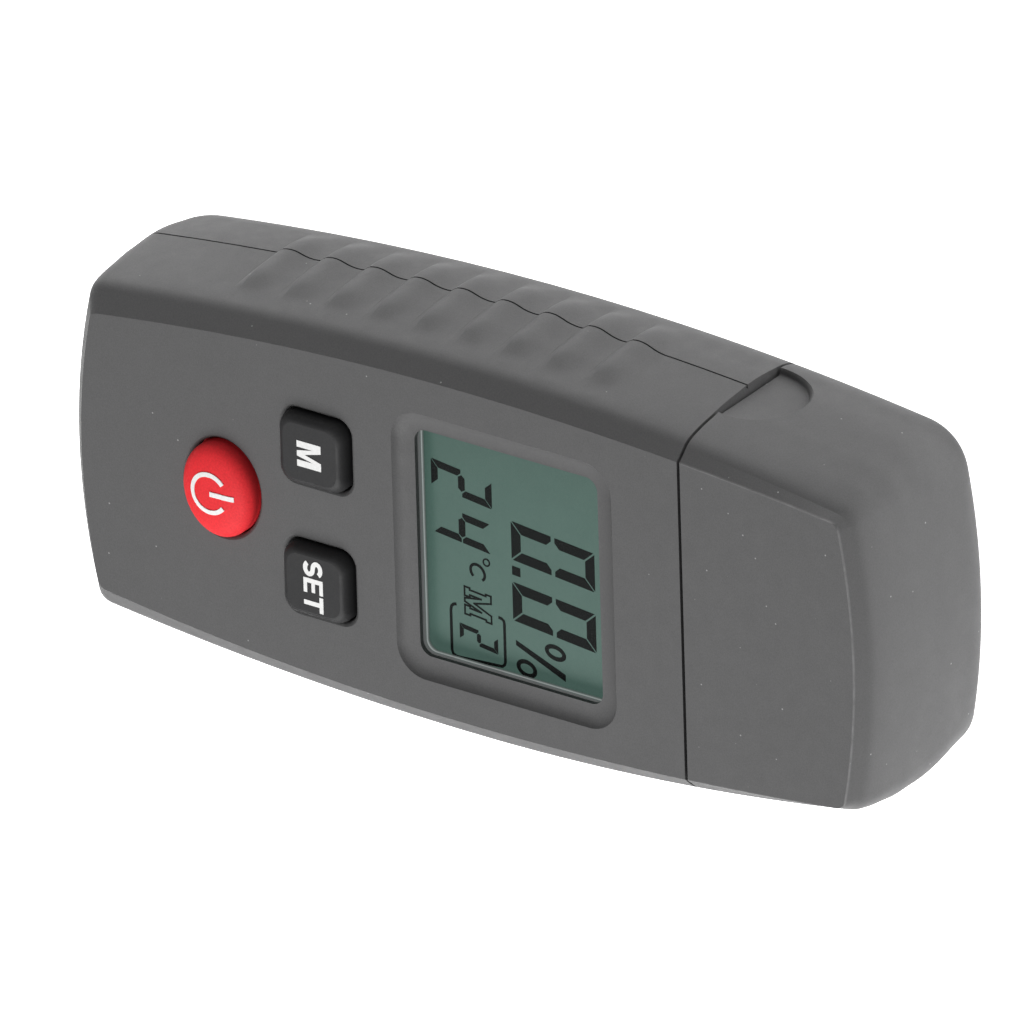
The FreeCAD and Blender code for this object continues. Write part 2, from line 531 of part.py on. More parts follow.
# tags reach under the board: move them to lie on its lower face
for t in tags:
    t.translate(V(0, 0, (PCB_TOP - PCB_T) - (Z_PART + 7.2) - 0.01))
    pass
export(Part.makeCompound(tags), "pin_terminals")

# ---------------------------------------------------------------- power supply
cells, springs, plates = [], [], []
ymid = (BAY_Y0 + BAY_Y1) / 2
for i in (-1, 0, 1):
    cx = i * CELL_PITCH
    s = 1 if i % 2 == 0 else -1           # alternate direction
    y0 = ymid - CELL_L / 2
    can = ycyl(cx, CELL_Z, CELL_R, y0 + (0.8 if s < 0 else 0), y0 + CELL_L - (0.8 if s > 0 else 0))
    ends = [e for e in can.Edges if e.Curve.TypeId == "Part::GeomCircle"]
    can = can.makeFillet(0.5, ends)
    nub = ycyl(cx, CELL_Z, 1.9, y0 + CELL_L - 1.2, y0 + CELL_L) if s > 0 else ycyl(cx, CELL_Z, 1.9, y0, y0 + 1.2)
    cells.append(can.fuse(nub).removeSplitter())
    # coil spring at the flat end, plate at the button end
    gap = (BAY_Y1 - BAY_Y0 - CELL_L) / 2
    h = gap - 0.3 - 2 * SPRING_R - 0.04
    ya = BAY_Y0 + 0.32 + SPRING_R if s > 0 else BAY_Y1 - 0.32 - SPRING_R - h
    path = Part.Wire(Part.makeHelix(h / 3, h, 3.0).Edges)
    # eight-sided wire section, swept along the helix
    oct8 = [V(3.0 + SPRING_R * math.cos(math.radians(22.5 + 45 * k)), 0,
              SPRING_R * math.sin(math.radians(22.5 + 45 * k))) for k in range(8)]
    prof = Part.Wire(Part.makePolygon(oct8 + [oct8[0]]).Edges)
    sp = path.makePipeShell([prof], True, True)
    sp.rotate(V(0, 0, 0), V(1, 0, 0), -90)
    sp.translate(V(cx, ya, CELL_Z))
    springs.append(sp)
    yp = BAY_Y1 - 0.3 if s > 0 else BAY_Y0 + 0.0
    plates.append(box(cx - 4.0, cx + 4.0, yp, yp + 0.3, CELL_Z - 3.8, CELL_Z + 4.2))
    pad0 = yp - (gap - 0.32) if s > 0 else yp + 0.3
    plates[-1] = plates[-1].fuse(ycyl(cx, CELL_Z, 1.6, pad0, pad0 + gap - 0.32)).removeSplitter()
    ys = BAY_Y0 if s > 0 else BAY_Y1 - 0.3
    plates.append(box(cx - 4.0, cx + 4.0, ys, ys + 0.3, CELL_Z - 3.8, CELL_Z + 4.2))
export(Part.makeCompound(cells), "battery_cells")
export(Part.makeCompound(springs), "battery_springs")
export(Part.makeCompound(plates), "battery_plates")

door = slab(0, (DOOR_Y0 + DOOR_Y1) / 2, DOOR_HX, (DOOR_Y1 - DOOR_Y0) / 2, 2.0, 0.0, 1.15)
door = door.fuse(box(-15.6, 15.6, BAY_Y0 + 0.4, BAY_Y1 - 0.4, 1.1, 2.0))
door = door.cut(box(-14.4, 14.4, BAY_Y0 + 1.6, BAY_Y1 - 1.6, 1.2, 3.0))
for i in range(5):
    door = door.cut(box(-6, 6, DOOR_Y0 + 3.0 + i * 1.6, DOOR_Y0 + 3.8 + i * 1.6, -1, 0.35))
export(door.removeSplitter(), "battery_door")
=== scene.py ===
import bpy, bmesh, json, math
from mathutils import Vector, Matrix
from mathutils.bvhtree import BVHTree


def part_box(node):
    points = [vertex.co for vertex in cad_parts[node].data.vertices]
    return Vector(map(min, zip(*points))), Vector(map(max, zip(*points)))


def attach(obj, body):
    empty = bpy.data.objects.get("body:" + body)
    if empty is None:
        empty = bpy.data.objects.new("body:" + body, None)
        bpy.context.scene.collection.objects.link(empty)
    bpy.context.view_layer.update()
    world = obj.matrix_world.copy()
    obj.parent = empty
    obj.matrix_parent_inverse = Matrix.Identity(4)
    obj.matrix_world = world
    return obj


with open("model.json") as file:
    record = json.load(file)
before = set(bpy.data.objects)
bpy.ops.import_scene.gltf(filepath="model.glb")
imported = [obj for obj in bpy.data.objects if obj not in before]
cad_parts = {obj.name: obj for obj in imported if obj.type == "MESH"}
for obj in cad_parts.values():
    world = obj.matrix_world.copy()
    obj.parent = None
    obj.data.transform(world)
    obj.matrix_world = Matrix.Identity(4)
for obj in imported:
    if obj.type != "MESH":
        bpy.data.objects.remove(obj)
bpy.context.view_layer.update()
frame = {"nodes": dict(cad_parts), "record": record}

nodes = frame["nodes"]
scene = bpy.context.scene
MM = 0.001


# ------------------------------------------------------------- node helpers
def new_mat(name, color, rough=0.5, metallic=0.0, coat=0.0, spec=0.5, ior=1.5):
    m = bpy.data.materials.new(name)
    m.use_nodes = True
    nt = m.node_tree
    b = nt.nodes["Principled BSDF"]
    b.inputs["Base Color"].default_value = (color[0], color[1], color[2], 1)
    b.inputs["Roughness"].default_value = rough
    b.inputs["Metallic"].default_value = metallic
    b.inputs["Coat Weight"].default_value = coat
    b.inputs["IOR"].default_value = ior
    b.inputs["Specular IOR Level"].default_value = spec
    return m, nt, b


def node(nt, kind, **kw):
    n = nt.nodes.new(kind)
    for k, v in kw.items():
        if k.startswith("i_"):
            n.inputs[k[2:].replace("_", " ")].default_value = v
        else:
            setattr(n, k, v)
    return n


def coords(nt, scale=(1, 1, 1)):
    tc = node(nt, "ShaderNodeTexCoord")
    mp = node(nt, "ShaderNodeMapping")
    mp.inputs["Scale"].default_value = scale
    nt.links.new(tc.outputs["Object"], mp.inputs["Vector"])
    return mp.outputs["Vector"]


def noise(nt, vec, scale, detail=4.0, rough=0.55, dist=0.0):
    n = node(nt, "ShaderNodeTexNoise")
    n.inputs["Scale"].default_value = scale
    n.inputs["Detail"].default_value = detail
    n.inputs["Roughness"].default_value = rough
    n.inputs["Distortion"].default_value = dist
    nt.links.new(vec, n.inputs["Vector"])
    return n.outputs["Fac"]


def ramp(nt, fac, stops):
    r = node(nt, "ShaderNodeValToRGB")
    e = r.color_ramp.elements
    while len(e) > len(stops):
        e.remove(e[-1])
    while len(e) < len(stops):
        e.new(0.5)
    for el, (p, c) in zip(e, stops):
        el.position = p
        el.color = (c[0], c[1], c[2], 1) if not isinstance(c, (int, float)) else (c, c, c, 1)
    nt.links.new(fac, r.inputs["Fac"])
    return r.outputs["Color"]


def mapr(nt, fac, a, b, c, d):
    r = node(nt, "ShaderNodeMapRange")
    for k, v in zip(("From Min", "From Max", "To Min", "To Max"), (a, b, c, d)):
        r.inputs[k].default_value = v
    nt.links.new(fac, r.inputs["Value"])
    return r.outputs["Result"]


def mix(nt, fac, a, b, mode="MIX"):
    m = node(nt, "ShaderNodeMix")
    m.data_type = "RGBA"
    m.blend_type = mode
    ins = [s for s in m.inputs if s.type == "RGBA"]
    if isinstance(fac, (int, float)):
        m.inputs[0].default_value = fac
    else:
        nt.links.new(fac, m.inputs[0])
    for s, v in zip(ins, (a, b)):
        if isinstance(v, tuple):
            s.default_value = (v[0], v[1], v[2], 1)
        else:
            nt.links.new(v, s)
    return [o for o in m.outputs if o.type == "RGBA"][0]


def bump(nt, b, height, strength=0.3, dist=0.0001, prev=None):
    n = node(nt, "ShaderNodeBump")
    n.inputs["Strength"].default_value = strength
    n.inputs["Distance"].default_value = dist
    nt.links.new(height, n.inputs["Height"])
    if prev is not None:
        nt.links.new(prev, n.inputs["Normal"])
    nt.links.new(n.outputs["Normal"], b.inputs["Normal"])
    return n.outputs["Normal"]


# ---------------------------------------------------------------- materials
def edge_highlight_mask(nt, v, width):
    """1 along the rim of the display face, 0 elsewhere: the mask of a painted highlight line."""
    def m(op, a, b=None, c=None):
        n = node(nt, "ShaderNodeMath", operation=op)
        for k, q in enumerate((a, b, c)):
            if q is None:
                continue
            if isinstance(q, (int, float)):
                n.inputs[k].default_value = q
            else:
                nt.links.new(q, n.inputs[k])
        return n.outputs["Value"]
    sep = node(nt, "ShaderNodeSeparateXYZ")
    nt.links.new(v, sep.inputs["Vector"])
    x, y, z = sep.outputs["X"], sep.outputs["Y"], sep.outputs["Z"]
    # side edge: x = 24.9 - y^2 / (2 R); end edge: y = 63.3 - x^2 / (2 R)
    xe = m("MULTIPLY_ADD", m("MULTIPLY", y, y), -1.0 / (2 * FACE_R_SIDE), FACE_HALF_W)
    ye = m("MULTIPLY_ADD", m("MULTIPLY", x, x), -1.0 / (2 * FACE_R_END), FACE_END_Y)
    d = m("MINIMUM", m("SUBTRACT", xe, m("ABSOLUTE", x)), m("SUBTRACT", ye, y))
    near = mapr(nt, m("ABSOLUTE", d), width * 0.35, width, 1.0, 0.0)
    high = mapr(nt, z, FACE_Z - 0.0004, FACE_Z - 0.0001, 0.0, 1.0)
    return m("MULTIPLY", near, high)


def moulded(name, color, rough=0.5, grain=4200.0, grain_strength=0.35, var=0.10, dust=0.0,
            rough_var=0.08, spec=0.5, edge=0.0):
    """Moulded plastic: fine spark-eroded grain, slight tone drift, a little dust, and with edge a painted highlight
    line along the face rim.
    """
    m, nt, b = new_mat(name, color, rough, spec=spec)
    v = coords(nt)
    big = noise(nt, v, 55.0, 3.0, 0.5)
    mid = noise(nt, v, 420.0, 4.0, 0.6)
    fine = noise(nt, v, grain, 3.0, 0.6)
    lo = tuple(c * (1 - var) for c in color)
    hi = tuple(min(1, c * (1 + var)) for c in color)
    col = ramp(nt, big, [(0.3, lo), (0.7, hi)])
    tiny = ramp(nt, fine, [(0.25, tuple(c * 0.80 for c in color)), (0.75, tuple(min(1, c * 1.20) for c in color))])
    col = mix(nt, 0.6, col, tiny)
    if dust > 0:
        vo = node(nt, "ShaderNodeTexVoronoi")
        vo.inputs["Scale"].default_value = 400.0
        vo.inputs["Randomness"].default_value = 1.0
        nt.links.new(v, vo.inputs["Vector"])
        spot = mapr(nt, vo.outputs["Distance"], 0.035, 0.060, 1.0, 0.0)
        pick = node(nt, "ShaderNodeSeparateColor")
        nt.links.new(vo.outputs["Color"], pick.inputs["Color"])
        few = mapr(nt, pick.outputs["Red"], 1.0 - dust, 1.0 - dust + 0.01, 0.0, 1.0)
        mul = node(nt, "ShaderNodeMath", operation="MULTIPLY")
        nt.links.new(spot, mul.inputs[0])
        nt.links.new(few, mul.inputs[1])
        col = mix(nt, mul.outputs["Value"], col, tuple(min(1, 0.22 + c) for c in color))
    # edge: the colour is lightened along the face rim, a painted highlight line
    if edge > 0:
        edge_highlight_noise = noise(nt, v, 700.0, 3.0, 0.6)
        amt = node(nt, "ShaderNodeMath", operation="MULTIPLY")
        nt.links.new(edge_highlight_mask(nt, v, 0.00016), amt.inputs[0])
        nt.links.new(mapr(nt, edge_highlight_noise, 0.25, 0.6, edge * 0.35, edge), amt.inputs[1])
        col = mix(nt, amt.outputs["Value"], col, tuple(min(1, c * 2.4) for c in color))
    nt.links.new(col, b.inputs["Base Color"])
    r = mapr(nt, mid, 0.3, 0.7, rough - rough_var, rough + rough_var)
    nt.links.new(r, b.inputs["Roughness"])
    n1 = bump(nt, b, fine, grain_strength, 0.00003)
    bump(nt, b, mid, grain_strength * 0.4, 0.00004, n1)
    return m


def metal(name, color, rough=0.3, brush=(1, 1, 1), scale=900.0, strength=0.15):
    m, nt, b = new_mat(name, color, rough, metallic=1.0)
    v = coords(nt, brush)
    f = noise(nt, v, scale, 4.0, 0.6)
    big = noise(nt, v, 80.0, 3.0, 0.5)
    col = ramp(nt, big, [(0.3, tuple(c * 0.86 for c in color)), (0.7, tuple(min(1, c * 1.08) for c in color))])
    nt.links.new(col, b.inputs["Base Color"])
    nt.links.new(mapr(nt, f, 0.3, 0.7, rough * 0.75, rough * 1.3), b.inputs["Roughness"])
    bump(nt, b, f, strength, 0.00002)
    return m


GREY = (0.108, 0.1075, 0.1085)
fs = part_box("front_shell")
FACE_Z = fs[1][2]
FACE_R_SIDE, FACE_R_END = 0.500, 0.104
FACE_HALF_W, FACE_END_Y = 0.0249, 0.0633
M = {}
M["case_grey"] = moulded("case_grey", GREY, 0.60, 5200.0, 0.50, 0.045, 0.30, 0.05, 0.28)
# the cap's last argument paints a highlight line along its face rim
M_CAP = moulded("cap_grey", GREY, 0.60, 5200.0, 0.50, 0.045, 0.75, 0.05, 0.28, 0.5)
M["key_dark"] = moulded("key_dark", (0.031, 0.031, 0.032), 0.52, 4200.0, 0.35, 0.12, 0.02, 0.06, 0.22)
M["key_red"] = moulded("key_red", (0.84, 0.034, 0.042), 0.55, 3600.0, 0.16, 0.05, 0.003, 0.05, 0.12)
M["white_plastic"] = moulded("white_plastic", (0.70, 0.70, 0.66), 0.5, 3000.0, 0.2)
M["switch_black"] = moulded("switch_black", (0.02, 0.02, 0.02), 0.45, 3000.0, 0.2)
M["plunger"] = moulded("plunger", (0.22, 0.05, 0.04), 0.45, 3000.0, 0.2)
M["chip_black"] = moulded("chip_black", (0.018, 0.018, 0.02), 0.55, 5000.0, 0.4)
M["strip_rubber"] = moulded("strip_rubber", (0.45, 0.28, 0.30), 0.7, 2600.0, 0.3)
M["black_rubber"] = moulded("black_rubber", (0.02, 0.02, 0.02), 0.75, 3600.0, 0.4)
M["bead_epoxy"] = moulded("bead_epoxy", (0.08, 0.06, 0.03), 0.25, 800.0, 0.2)
M["screw_steel"] = metal("screw_steel", (0.52, 0.52, 0.53), 0.32, (1, 1, 1), 1500.0)
M["socket_brass"] = metal("socket_brass", (0.66, 0.48, 0.20), 0.28, (1, 6, 1), 900.0)
M["pin_steel"] = metal("pin_steel", (0.72, 0.72, 0.74), 0.16, (1, 8, 1), 1200.0, 0.1)
M["terminal_metal"] = metal("terminal_metal", (0.62, 0.61, 0.58), 0.3, (5, 1, 1), 800.0)
M["spring_steel"] = metal("spring_steel", (0.60, 0.60, 0.61), 0.25, (1, 1, 1), 1200.0)
M["capacitor_can"] = metal("capacitor_can", (0.60, 0.60, 0.62), 0.35, (1, 7, 1), 700.0)
M["reflector"] = metal("reflector", (0.55, 0.60, 0.56), 0.4, (1, 1, 1), 1100.0)


def board():
    m, nt, b = new_mat("board_green", (0.02, 0.12, 0.05), 0.35, coat=0.3)
    v = coords(nt)
    br = node(nt, "ShaderNodeTexBrick")
    br.inputs["Scale"].default_value = 260.0
    br.inputs["Color1"].default_value = (0.018, 0.105, 0.045, 1)
    br.inputs["Color2"].default_value = (0.024, 0.135, 0.055, 1)
    br.inputs["Mortar"].default_value = (0.05, 0.22, 0.09, 1)
    br.inputs["Mortar Size"].default_value = 0.06
    nt.links.new(v, br.inputs["Vector"])
    f = noise(nt, v, 900.0)
    nt.links.new(mix(nt, 0.15, br.outputs["Color"], ramp(nt, f, [(0.3, (0.01, 0.07, 0.03)), (0.7, (0.03, 0.16, 0.07))])),
                 b.inputs["Base Color"])
    bump(nt, b, f, 0.2, 0.00003)
    return m


def jacket():
    m, nt, b = new_mat("cell_jacket", (0.05, 0.10, 0.28), 0.3, metallic=0.3, coat=0.3)
    v = coords(nt)
    sep = node(nt, "ShaderNodeSeparateXYZ")
    nt.links.new(v, sep.inputs["Vector"])
    band = ramp(nt, mapr(nt, sep.outputs["Y"], -0.052, -0.007, 0.0, 1.0),
                [(0.0, (0.55, 0.55, 0.56)), (0.03, (0.05, 0.10, 0.28)), (0.72, (0.05, 0.10, 0.28)), (0.76, (0.60, 0.42, 0.16))])
    f = noise(nt, v, 700.0)
    nt.links.new(mix(nt, 0.12, band, ramp(nt, f, [(0.3, 0.1), (0.7, 0.4)])), b.inputs["Base Color"])
    nt.links.new(mapr(nt, f, 0.3, 0.7, 0.22, 0.38), b.inputs["Roughness"])
    bump(nt, b, f, 0.1, 0.00002)
    return m


M["board_green"] = board()
M["cell_jacket"] = jacket()


def clear():
    """Thin clear pane: lets the display through, keeps a little gloss and haze."""
    m, nt, b = new_mat("clear_pane", (0.03, 0.034, 0.033), 0.05, ior=1.49)
    v = coords(nt)
    f = noise(nt, v, 160.0, 5.0, 0.6)
    nt.links.new(mapr(nt, f, 0.35, 0.75, 0.03, 0.09), b.inputs["Roughness"])
    nt.links.new(mapr(nt, noise(nt, v, 240.0, 4.0, 0.6), 0.3, 0.8, 0.03, 0.07), b.inputs["Alpha"])
    nt.links.new(ramp(nt, noise(nt, v, 60.0), [(0.3, (0.026, 0.030, 0.029)), (0.7, (0.034, 0.038, 0.037))]), b.inputs["Base Color"])
    return m


def rim():
    """Clear moulded edge of the pane seen from inside: bright and dark streaks painted as reflections, with a painted
    glow that lifts it out of the recess's shade.
    """
    m, nt, b = new_mat("pane_edge", (0.2, 0.2, 0.2), 0.12, coat=0.5)
    v = coords(nt)
    sep = node(nt, "ShaderNodeSeparateXYZ")
    nt.links.new(v, sep.inputs["Vector"])
    wob = noise(nt, v, 90.0, 3.0, 0.5)
    zz = node(nt, "ShaderNodeMath", operation="MULTIPLY_ADD")
    nt.links.new(wob, zz.inputs[0])
    zz.inputs[1].default_value = 0.00008
    nt.links.new(sep.outputs["Z"], zz.inputs[2])
    # painted reflections: the bright and dark streaks by height stand in for light in the clear edge
    band = ramp(nt, mapr(nt, zz.outputs["Value"], 0.0254, 0.0282, 0.0, 1.0),
                [(0.00, (0.07, 0.10, 0.09)), (0.12, (0.20, 0.23, 0.22)), (0.22, (0.62, 0.64, 0.64)), (0.30, (0.16, 0.17, 0.17)),
                 (0.46, (0.30, 0.31, 0.31)), (0.54, (0.85, 0.86, 0.86)), (0.60, (0.12, 0.12, 0.12)),
                 (0.74, (0.30, 0.30, 0.30)), (0.84, (0.70, 0.70, 0.70)), (0.92, (0.10, 0.10, 0.10)), (1.0, (0.20, 0.20, 0.20))])
    nt.links.new(band, b.inputs["Base Color"])
    # painted glow: the streaks also glow to fill the shade of the recess
    nt.links.new(band, b.inputs["Emission Color"])
    b.inputs["Emission Strength"].default_value = 0.42
    f = noise(nt, v, 900.0)
    nt.links.new(mapr(nt, f, 0.3, 0.7, 0.08, 0.22), b.inputs["Roughness"])
    bump(nt, b, f, 0.1, 0.00002)
    return m


M["clear_pane"] = clear()


def lcd():
    m, nt, b = new_mat("lcd_glass", (0.13, 0.21, 0.18), 0.42, spec=0.3)
    v = coords(nt)
    big = noise(nt, v, 22.0, 2.0, 0.5)
    fine = noise(nt, v, 6000.0, 2.0, 0.5)
    sep = node(nt, "ShaderNodeSeparateXYZ")
    nt.links.new(v, sep.inputs["Vector"])
    # painted shade: the colour darkens towards the -X edge, where the frame shades the display
    g = mapr(nt, sep.outputs["X"], -0.017, 0.017, 0.0, 1.0)
    col = ramp(nt, g, [(0.0, (0.030, 0.059, 0.048)), (0.25, (0.036, 0.070, 0.058)), (1.0, (0.044, 0.081, 0.068))])
    col = mix(nt, 0.25, col, ramp(nt, big, [(0.3, (0.033, 0.065, 0.054)), (0.7, (0.044, 0.081, 0.068))]))
    col = mix(nt, 0.12, col, ramp(nt, fine, [(0.3, (0.020, 0.042, 0.034)), (0.7, (0.058, 0.104, 0.087))]))
    nt.links.new(col, b.inputs["Base Color"])
    # painted glow: the display's emission fills the shadow cast by the recess; the real display has no light of its
    # own
    nt.links.new(col, b.inputs["Emission Color"])
    b.inputs["Emission Strength"].default_value = 1.1
    bump(nt, b, fine, 0.12, 0.00001)
    return m


M["lcd_glass"] = lcd()
M_PANE_EDGE_PAINTED_LIGHT = rim()


def ink(name, color, rough=0.5, spec=0.4):
    m, nt, b = new_mat(name, color, rough, spec=spec)
    v = coords(nt)
    f = noise(nt, v, 2600.0, 3.0)
    nt.links.new(ramp(nt, f, [(0.25, tuple(c * 0.9 for c in color)), (0.8, tuple(min(1, c * 1.06) for c in color))]),
                 b.inputs["Base Color"])
    nt.links.new(mapr(nt, f, 0.3, 0.7, rough - 0.05, rough + 0.07), b.inputs["Roughness"])
    bump(nt, b, f, 0.15, 0.00001)
    return m


M_WHITE = ink("ink_white", (0.93, 0.93, 0.92), 0.5)
M_SEG = ink("lcd_segment", (0.006, 0.008, 0.0075), 0.6, 0.1)

slot_of = {s["node"]: s["material_slot"] for s in frame["record"]["subparts"]}
for name, o in nodes.items():
    o.data.materials.clear()
    o.data.materials.append(M[slot_of[name]])
# the gasket takes the pane-edge material with its painted streaks and glow
nodes["window_gasket"].data.materials[0] = M_PANE_EDGE_PAINTED_LIGHT
nodes["cap"].data.materials[0] = M_CAP


# ---------------------------------------------------------- surface markings
def top_of(name):
    """Function giving the height of a node's upper surface over (x, y)."""
    o = nodes[name]
    bm = bmesh.new()
    bm.from_mesh(o.data)
    tree = BVHTree.FromBMesh(bm)
    bm.free()

    def f(x, y):
        hit = tree.ray_cast(Vector((x, y, 0.2)), Vector((0, 0, -1)))
        return hit[0].z if hit[0] is not None else None
    return f


def ribbon(name, path, width, closed, height, mat, body, thick=0.00008, lift=0.00003, step=0.0003):
    """A printed stroke: a strip of constant width along path, laid on a surface."""
    pts = []
    n = len(path)
    rng = range(n if closed else n - 1)
    for i in rng:
        a, b = Vector(path[i]), Vector(path[(i + 1) % n])
        k = max(1, int((b - a).length / step))
        for j in range(k):
            pts.append(a + (b - a) * (j / k))
    if not closed:
        pts.append(Vector(path[-1]))
    bm = bmesh.new()
    rows = []
    N = len(pts)
    for i, p in enumerate(pts):
        a = pts[(i - 1) % N] if (closed or i > 0) else p
        c = pts[(i + 1) % N] if (closed or i < N - 1) else p
        t = (c - a).normalized()
        nrm = Vector((-t.y, t.x))
        row = []
        for k in range(5):
            q = p + nrm * width * (k / 4 - 0.5)
            z = height(q.x, q.y)
            row.append((q.x, q.y, z))
        rows.append(row)
    mesh_strip(bm, rows, closed, thick, lift)
    return finish_mesh(name, bm, mat, body)


def mesh_strip(bm, rows, closed, thick, lift):
    top = [[bm.verts.new((x, y, z + lift + thick)) for x, y, z in r] for r in rows]
    bot = [[bm.verts.new((x, y, z + lift - thick)) for x, y, z in r] for r in rows]
    n = len(rows)
    m = len(rows[0])
    rng = range(n if closed else n - 1)
    for i in rng:
        j = (i + 1) % n
        for k in range(m - 1):
            bm.faces.new((top[i][k], top[i][k + 1], top[j][k + 1], top[j][k]))
            bm.faces.new((bot[i][k], bot[j][k], bot[j][k + 1], bot[i][k + 1]))
        bm.faces.new((top[i][0], top[j][0], bot[j][0], bot[i][0]))
        bm.faces.new((top[i][m - 1], bot[i][m - 1], bot[j][m - 1], top[j][m - 1]))
    if not closed:
        for i, s in ((0, 1), (n - 1, -1)):
            for k in range(m - 1):
                f = (top[i][k], bot[i][k], bot[i][k + 1], top[i][k + 1])
                bm.faces.new(f if s > 0 else tuple(reversed(f)))


def finish_mesh(name, bm, mat, body, smooth=False):
    bmesh.ops.recalc_face_normals(bm, faces=bm.faces)
    me = bpy.data.meshes.new(name)
    bm.to_mesh(me)
    bm.free()
    if smooth:
        for p in me.polygons:
            p.use_smooth = True
    o = bpy.data.objects.new(name, me)
    scene.collection.objects.link(o)
    me.materials.append(mat)
    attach(o, body)
    return o


def polys(name, shapes, z0, z1, mat, body):
    """Flat closed shapes (lists of (x, y)) extruded from z0 to z1."""
    bm = bmesh.new()
    for pts in shapes:
        up = [bm.verts.new((x, y, z1)) for x, y in pts]
        dn = [bm.verts.new((x, y, z0)) for x, y in pts]
        bm.faces.new(up)
        bm.faces.new(list(reversed(dn)))
        n = len(pts)
        for i in range(n):
            bm.faces.new((up[i], dn[i], dn[(i + 1) % n], up[(i + 1) % n]))
    return finish_mesh(name, bm, mat, body)


# Text frame of the keys and display: u to the reader's right (+X), v up (+Y)
red_top = top_of("key_power")
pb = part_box("key_power")
pc = ((pb[0][0] + pb[1][0]) / 2, (pb[0][1] + pb[1][1]) / 2)


def arc_pts(c, r, a0, a1, n):
    return [(c[0] + r * math.cos(a0 + (a1 - a0) * i / (n - 1)), c[1] + r * math.sin(a0 + (a1 - a0) * i / (n - 1)))
            for i in range(n)]


R_IC = 2.78 * MM
ic = (pc[0], pc[1] - 0.50 * MM)
ribbon("mark_power_ring", arc_pts(ic, R_IC, math.radians(90 + 38), math.radians(90 + 322), 60), 0.64 * MM, False,
       red_top, M_WHITE, "key_power")
ribbon("mark_power_bar", [(ic[0], ic[1] + 0.15 * MM), (ic[0], ic[1] + 3.95 * MM)], 0.70 * MM, False,
       red_top, M_WHITE, "key_power")


def grid_poly(name, loops, height, mat, body, step=0.35 * MM, thick=0.00006, lift=0.00003):
    """Closed outlines laid on a surface, each built as a slab of its own."""
    bm = bmesh.new()
    for outer in loops:
        up = [bm.verts.new((x, y, height(x, y) + lift + thick)) for x, y in outer]
        dn = [bm.verts.new((x, y, height(x, y) + lift - thick)) for x, y in outer]
        n = len(outer)
        fu = bm.faces.new(up)
        fd = bm.faces.new(list(reversed(dn)))
        for i in range(n):
            bm.faces.new((up[i], dn[i], dn[(i + 1) % n], up[(i + 1) % n]))
    return finish_mesh(name, bm, mat, body)


def place(loops, cx, cy, s):
    return [[(cx + x * s, cy + y * s) for x, y in l] for l in loops]


def letter_M(w, h, t):
    a, b = w / 2, h / 2
    return [[(-a, -b), (-a + t, -b), (-a + t, b - 1.35 * t), (-0.42 * t, -b), (0.42 * t, -b), (a - t, b - 1.35 * t),
             (a - t, -b), (a, -b), (a, b), (a - 1.25 * t, b), (0, -b + 1.3 * t), (-a + 1.25 * t, b), (-a, b)]]


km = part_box("key_mode")
kmc = ((km[0][0] + km[1][0]) / 2, (km[0][1] + km[1][1]) / 2)
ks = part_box("key_set")
ksc = ((ks[0][0] + ks[1][0]) / 2, (ks[0][1] + ks[1][1]) / 2)
ztop = km[1][2]
zl0, zl1 = ztop - 0.00004, ztop + 0.00005
polys("mark_mode", place(letter_M(3.8, 3.9, 0.95), kmc[0] + 0.15 * MM, kmc[1] - 0.05 * MM, MM), zl0, zl1, M_WHITE, "key_mode")


def stroke_poly(path, w):
    """Outline of a thick open stroke through path."""
    L, R = [], []
    n = len(path)
    for i, p in enumerate(path):
        a = path[max(i - 1, 0)]
        c = path[min(i + 1, n - 1)]
        tx, ty = c[0] - a[0], c[1] - a[1]
        d = math.hypot(tx, ty)
        nx, ny = -ty / d * w / 2, tx / d * w / 2
        L.append((p[0] + nx, p[1] + ny))
        R.append((p[0] - nx, p[1] - ny))
    return L + R[::-1]


def quads(path, w):
    o = stroke_poly(path, w)
    n = len(path)
    return [[o[i], o[i + 1], o[2 * n - 2 - i], o[2 * n - 1 - i]] for i in range(n - 1)]


def letter_S(w, h, t, n=20):
    """One outline: two arcs joined through the middle."""
    r = (h - t) / 4
    rx = (w - t) / 2
    top = [(rx * math.cos(a), r + r * math.sin(a)) for a in [math.radians(25 + i * 245 / (n - 1)) for i in range(n)]]
    bot = [(-x, -y) for x, y in top]
    return [stroke_poly(top + bot[::-1][1:], t)]


SW, SH, ST = 2.2, 3.15, 0.68
a, b = SW / 2, SH / 2
set_shapes = []
set_shapes += place(letter_S(SW * 1.08, SH, ST), ksc[0] - 2.45 * MM, ksc[1], MM)
E = [[(-a, -b), (a, -b), (a, -b + ST * 0.85), (-a + ST, -b + ST * 0.85), (-a + ST, -ST * 0.42), (a - 0.15, -ST * 0.42),
      (a - 0.15, ST * 0.42), (-a + ST, ST * 0.42), (-a + ST, b - ST * 0.85), (a, b - ST * 0.85), (a, b), (-a, b)]]
set_shapes += place(E, ksc[0] + 0.15 * MM, ksc[1], MM)
Tt = [[(-a - 0.08, b - ST * 0.9), (-ST / 2, b - ST * 0.9), (-ST / 2, -b), (ST / 2, -b), (ST / 2, b - ST * 0.9),
       (a + 0.08, b - ST * 0.9), (a + 0.08, b), (-a - 0.08, b)]]
set_shapes += place(Tt, ksc[0] + 2.75 * MM, ksc[1], MM)
polys("mark_set", set_shapes, zl0, zl1, M_WHITE, "key_set")

# ------------------------------------------------------------ display marks
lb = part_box("lcd_front_glass")
zs = lb[1][2]
SEG0, SEG1 = zs - 0.00002, zs + 0.00005


